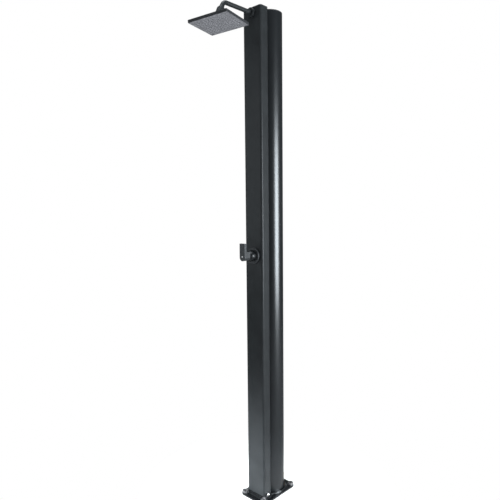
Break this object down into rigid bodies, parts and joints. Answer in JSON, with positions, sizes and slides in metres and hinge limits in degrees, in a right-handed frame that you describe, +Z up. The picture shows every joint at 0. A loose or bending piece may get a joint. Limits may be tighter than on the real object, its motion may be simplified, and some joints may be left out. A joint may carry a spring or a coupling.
{
  "type": "outdoor shower post",
  "caption": "Free-standing outdoor solar shower: rectangular column with single-lever mixer, round water tank behind it, flat foot and a square rain head on a short arm.",
  "frame": {"origin": "middle of the foot's underside, which is the middle of the anchor holes", "axes": "+Z up, -Y to the front, where the mixer and the head are, +X to the right seen from the front"},
  "size_m": [0.221, 0.504, 2.214],
  "materials": {
    "anthracite_paint": "fine satin powder coat, anthracite",
    "anthracite_tank": "satin, anthracite, to match the column",
    "anthracite_plastic": "satin moulded plastic, anthracite",
    "head_grey": "pale grey moulded plastic, satin",
    "nozzle_rubber": "soft silicone, pale grey",
    "black_plastic": "black moulded plastic",
    "white_plastic": "white engineering plastic",
    "steel": "plain stainless steel",
    "bright_metal": "polished",
    "brass": "turned brass",
    "seal_rubber": "black rubber",
    "ceramic": "lapped ceramic",
    "hose": "braided hose, grey"
  },
  "bodies": {
    "post": {"foot_casting": "anthracite_paint", "post_spigot": "steel", "spigot_screws": "steel", "side_bolts": "bright_metal", "tank_seat": "steel", "seat_screws": "steel", "front_column": "anthracite_paint", "front_cap": "anthracite_plastic", "column_saddles": "black_plastic", "saddle_screws": "steel", "tank_tube": "anthracite_tank", "tank_top_plug": "white_plastic", "tank_bottom_plug": "white_plastic", "tank_seals": "seal_rubber", "tank_snap_rings": "steel", "tank_cover": "anthracite_plastic", "standpipe": "white_plastic", "inlet_thread": "brass", "inlet_seal": "seal_rubber", "inlet_locknut": "brass", "check_valve": "white_plastic", "inlet_tee": "brass", "feed_nipple": "brass", "warm_elbow": "brass", "cold_hose": "hose", "warm_hose": "hose", "mixed_hose": "hose", "hose_nuts": "brass", "mixer_body": "brass", "mixer_gasket": "seal_rubber", "mixer_backnut": "brass", "escutcheon": "anthracite_paint", "cartridge_housing": "white_plastic", "cartridge_seals": "seal_rubber", "fixed_disc": "ceramic", "cartridge_nut": "brass", "arm_elbow": "brass", "arm_backnut": "brass", "arm_seal": "seal_rubber", "arm_flange": "anthracite_paint", "arm_tube": "anthracite_paint", "swivel_nut": "anthracite_paint", "filter_washer": "steel"},
    "turning_carrier": {"stem_carrier": "white_plastic", "stem_pin": "bright_metal", "domed_sleeve": "anthracite_paint"},
    "sliding_disc": {"moving_disc": "ceramic", "disc_slider": "white_plastic"},
    "lever": {"lever_stem": "brass", "lever": "anthracite_paint", "lever_screw": "steel", "lever_cap": "bright_metal"},
    "ball_stem": {"ball_stem": "bright_metal"},
    "ball_seat": {"ball_seat": "white_plastic"},
    "head": {"ball_ring": "anthracite_plastic", "head_shell": "anthracite_plastic", "head_gasket": "seal_rubber", "nozzle_mat": "nozzle_rubber", "spray_plate": "head_grey", "head_screws": "steel"}
  },
  "joints": [
    {"name": "lever_turn", "type": "hinge", "parent": "post", "child": "turning_carrier", "pos_m": [0, -0.1055, 1.143], "axis": [0, -1, 0], "range_deg": [-45, 45]},
    {"name": "lever_lift", "type": "hinge", "parent": "turning_carrier", "child": "lever", "pos_m": [0, -0.1055, 1.143], "axis": [1, 0, 0], "range_deg": [0, 25]},
    {"name": "disc_slide", "type": "slide", "parent": "turning_carrier", "child": "sliding_disc", "axis": [0, 0, 1], "range_m": [0, 0.0062]},
    {"name": "stem_turn", "type": "hinge", "parent": "post", "child": "ball_stem", "pos_m": [0, -0.27949, 2.12396], "axis": [0, 0.4067, 0.9135], "continuous": true},
    {"name": "head_tilt", "type": "hinge", "parent": "ball_stem", "child": "ball_seat", "pos_m": [0, -0.27949, 2.12396], "axis": [1, 0, 0], "range_deg": [-66, 14]},
    {"name": "head_spin", "type": "hinge", "parent": "ball_seat", "child": "head", "pos_m": [0, -0.27949, 2.12396], "axis": [-0.0608, -0.0352, 0.9975], "continuous": true}
  ],
  "couplings": [
    {"joint": "disc_slide", "follows": "lever_lift", "m_per_rad": 0.014}
  ]
}
